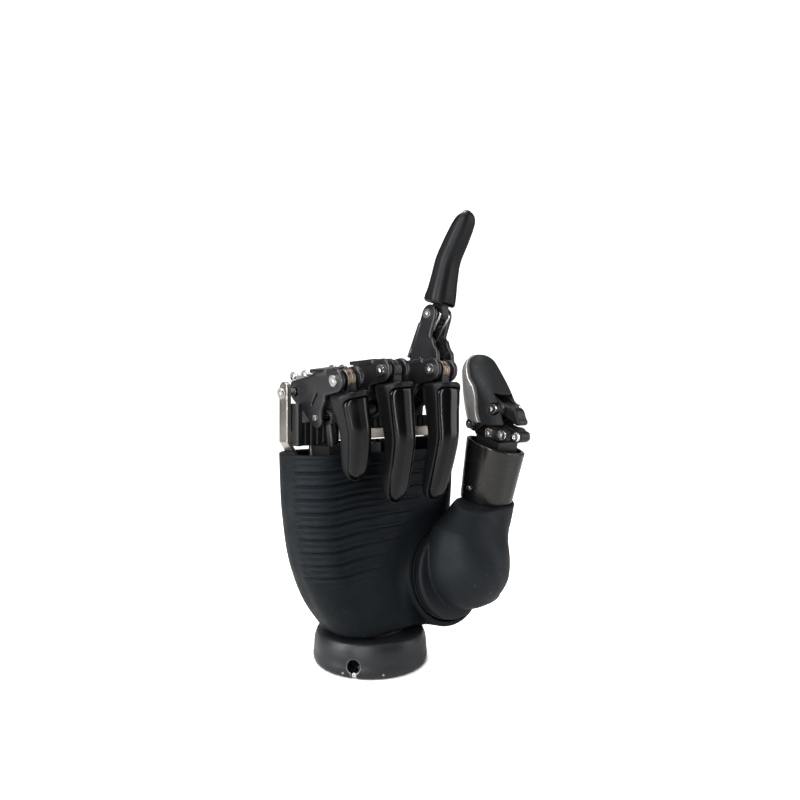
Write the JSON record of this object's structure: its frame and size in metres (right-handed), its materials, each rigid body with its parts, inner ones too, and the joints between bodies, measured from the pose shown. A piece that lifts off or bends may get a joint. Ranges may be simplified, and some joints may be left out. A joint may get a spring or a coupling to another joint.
{
  "type": "prosthetic hand",
  "caption": "Right-hand myoelectric prosthesis with coupled curling fingers, a turning thumb in a rubber boot and a round wrist coupling ring.",
  "frame": {"origin": "centre of the wrist ring's bottom face", "axes": "+Z from the wrist towards the fingertips, the palm faces -Y, the thumb is on +X"},
  "size_m": [0.1081, 0.0702, 0.2012],
  "materials": {
    "satin_black_metal": "satin",
    "nickel": "satin",
    "dark_alloy": "satin",
    "steel": "polished",
    "bronze": "satin",
    "rubber": "matte",
    "proximal_grey": "matte",
    "black_plastic": "matte",
    "gloss_black": "gloss",
    "gunmetal": "satin",
    "board": "satin"
  },
  "bodies": {
    "wrist": {"wrist_ring": "satin_black_metal", "wrist_lock_screw": "steel", "wrist_bearing": "bronze"},
    "palm": {"wrist_stub": "dark_alloy", "retaining_clip": "steel", "chassis": "nickel", "knuckle_block": "dark_alloy", "knuckle_pins": "steel", "palm_cover": "rubber", "back_cover": "black_plastic", "cover_screws": "steel", "finger_actuators": "dark_alloy", "actuator_motors": "nickel", "control_board": "board", "thumb_bearing": "bronze"},
    "index_proximal": {"index_proximal": "proximal_grey", "index_pins": "steel"},
    "index_tip": {"index_bush": "bronze", "index_tip_core": "dark_alloy", "index_tip_shell": "gloss_black", "index_tip_grip": "rubber"},
    "index_coupler": {"index_coupler": "steel"},
    "index_drive_rod": {"index_drive_rod": "dark_alloy"},
    "middle_proximal": {"middle_proximal": "proximal_grey", "middle_pins": "steel"},
    "middle_tip": {"middle_bush": "bronze", "middle_tip_core": "dark_alloy", "middle_tip_shell": "gloss_black", "middle_tip_grip": "rubber"},
    "middle_coupler": {"middle_coupler": "steel"},
    "middle_drive_rod": {"middle_drive_rod": "dark_alloy"},
    "ring_proximal": {"ring_proximal": "proximal_grey", "ring_pins": "steel"},
    "ring_tip": {"ring_bush": "bronze", "ring_tip_core": "dark_alloy", "ring_tip_shell": "gloss_black", "ring_tip_grip": "rubber"},
    "ring_coupler": {"ring_coupler": "steel"},
    "ring_drive_rod": {"ring_drive_rod": "dark_alloy"},
    "little_proximal": {"little_proximal": "proximal_grey", "little_pins": "steel"},
    "little_tip": {"little_bush": "bronze", "little_tip_core": "dark_alloy", "little_tip_shell": "gloss_black", "little_tip_grip": "rubber"},
    "little_coupler": {"little_coupler": "steel"},
    "little_drive_rod": {"little_drive_rod": "dark_alloy"},
    "thumb_base": {"thumb_rotor": "dark_alloy", "thumb_nut": "steel", "thumb_boot": "rubber", "thumb_sleeve": "gunmetal", "thumb_sleeve_screw": "steel", "thumb_motor": "nickel", "thumb_knuckle": "dark_alloy", "thumb_knuckle_pins": "steel"},
    "thumb_tip": {"thumb_tip_core": "dark_alloy", "thumb_tip_pins": "steel", "thumb_tip_shell": "gunmetal", "thumb_tip_pad": "rubber", "thumb_drive_arm": "dark_alloy"}
  },
  "joints": [
    {"name": "wrist_turn", "type": "hinge", "parent": "wrist", "child": "palm", "pos_m": [0, 0, 0], "axis": [0, 0, 1], "continuous": true},
    {"name": "index_curl", "type": "hinge", "parent": "palm", "child": "index_proximal", "pos_m": [0.0314, 0.0036, 0.1197], "axis": [0.9945, 0, -0.1045], "range_deg": [0, 66]},
    {"name": "index_tip_bend", "type": "hinge", "parent": "index_proximal", "child": "index_tip", "pos_m": [0.03502, -0.00632, 0.15412], "axis": [0.9945, 0, -0.1045], "range_deg": [0, 94.1]},
    {"name": "index_coupler_swing", "type": "hinge", "parent": "index_tip", "child": "index_coupler", "pos_m": [0.03499, -0.01029, 0.15381], "axis": [0.9945, 0, -0.1045], "range_deg": [-101.26, 0]},
    {"name": "index_rod_slide", "type": "slide", "parent": "palm", "child": "index_drive_rod", "axis": [0.1045, 0, 0.9945], "range_m": [-0.01843, 0]},
    {"name": "middle_curl", "type": "hinge", "parent": "palm", "child": "middle_proximal", "pos_m": [0.01, 0.0036, 0.122], "axis": [0.9981, 0, -0.061], "range_deg": [-66, 0]},
    {"name": "middle_tip_bend", "type": "hinge", "parent": "middle_proximal", "child": "middle_tip", "pos_m": [0.01033, -0.03453, 0.12735], "axis": [0.9981, 0, -0.061], "range_deg": [-94.1, 0]},
    {"name": "middle_coupler_swing", "type": "hinge", "parent": "middle_tip", "child": "middle_coupler", "pos_m": [0.01026, -0.03069, 0.12628], "axis": [0.9981, 0, -0.061], "range_deg": [0, 100.79]},
    {"name": "middle_rod_slide", "type": "slide", "parent": "palm", "child": "middle_drive_rod", "axis": [0.061, 0, 0.9981], "range_m": [0, 0.01843]},
    {"name": "ring_curl", "type": "hinge", "parent": "palm", "child": "ring_proximal", "pos_m": [-0.011, 0.0052, 0.1225], "axis": [0.999, 0, 0.0436], "range_deg": [-66, 0]},
    {"name": "ring_tip_bend", "type": "hinge", "parent": "ring_proximal", "child": "ring_tip", "pos_m": [-0.01121, -0.02896, 0.1273], "axis": [0.999, 0, 0.0436], "range_deg": [-94.1, 0]},
    {"name": "ring_coupler_swing", "type": "hinge", "parent": "ring_tip", "child": "ring_coupler", "pos_m": [-0.01116, -0.02513, 0.12623], "axis": [0.999, 0, 0.0436], "range_deg": [0, 101.58]},
    {"name": "ring_rod_slide", "type": "slide", "parent": "palm", "child": "ring_drive_rod", "axis": [-0.0436, 0, 0.999], "range_m": [0, 0.01843]},
    {"name": "little_curl", "type": "hinge", "parent": "palm", "child": "little_proximal", "pos_m": [-0.0305, 0.005, 0.1193], "axis": [0.9914, 0, 0.1305], "range_deg": [-66, 0]},
    {"name": "little_tip_bend", "type": "hinge", "parent": "little_proximal", "child": "little_tip", "pos_m": [-0.03104, -0.02471, 0.12344], "axis": [0.9914, 0, 0.1305], "range_deg": [-94.1, 0]},
    {"name": "little_coupler_swing", "type": "hinge", "parent": "little_tip", "child": "little_coupler", "pos_m": [-0.0309, -0.02087, 0.12238], "axis": [0.9914, 0, 0.1305], "range_deg": [0, 102.72]},
    {"name": "little_rod_slide", "type": "slide", "parent": "palm", "child": "little_drive_rod", "axis": [-0.1305, 0, 0.9914], "range_m": [0, 0.01843]},
    {"name": "thumb_swing", "type": "hinge", "parent": "palm", "child": "thumb_base", "pos_m": [0.028, -0.0195, 0.037], "axis": [0, 0.9848, -0.1736], "range_deg": [0, 45]},
    {"name": "thumb_curl", "type": "hinge", "parent": "thumb_base", "child": "thumb_tip", "pos_m": [0.051, -0.0203, 0.1036], "axis": [-1, 0, 0], "range_deg": [-3, 32]}
  ],
  "couplings": [
    {"joint": "index_tip_bend", "follows": "index_curl", "ratio": 1.4242},
    {"joint": "index_coupler_swing", "follows": "index_curl", "ratio": -1.5328},
    {"joint": "index_rod_slide", "follows": "index_curl", "m_per_rad": -0.015956},
    {"joint": "middle_tip_bend", "follows": "middle_curl", "ratio": 1.4242},
    {"joint": "middle_coupler_swing", "follows": "middle_curl", "ratio": -1.5256},
    {"joint": "middle_rod_slide", "follows": "middle_curl", "m_per_rad": -0.015956},
    {"joint": "ring_tip_bend", "follows": "ring_curl", "ratio": 1.4242},
    {"joint": "ring_coupler_swing", "follows": "ring_curl", "ratio": -1.5376},
    {"joint": "ring_rod_slide", "follows": "ring_curl", "m_per_rad": -0.015956},
    {"joint": "little_tip_bend", "follows": "little_curl", "ratio": 1.4242},
    {"joint": "little_coupler_swing", "follows": "little_curl", "ratio": -1.5548},
    {"joint": "little_rod_slide", "follows": "little_curl", "m_per_rad": -0.015956}
  ]
}
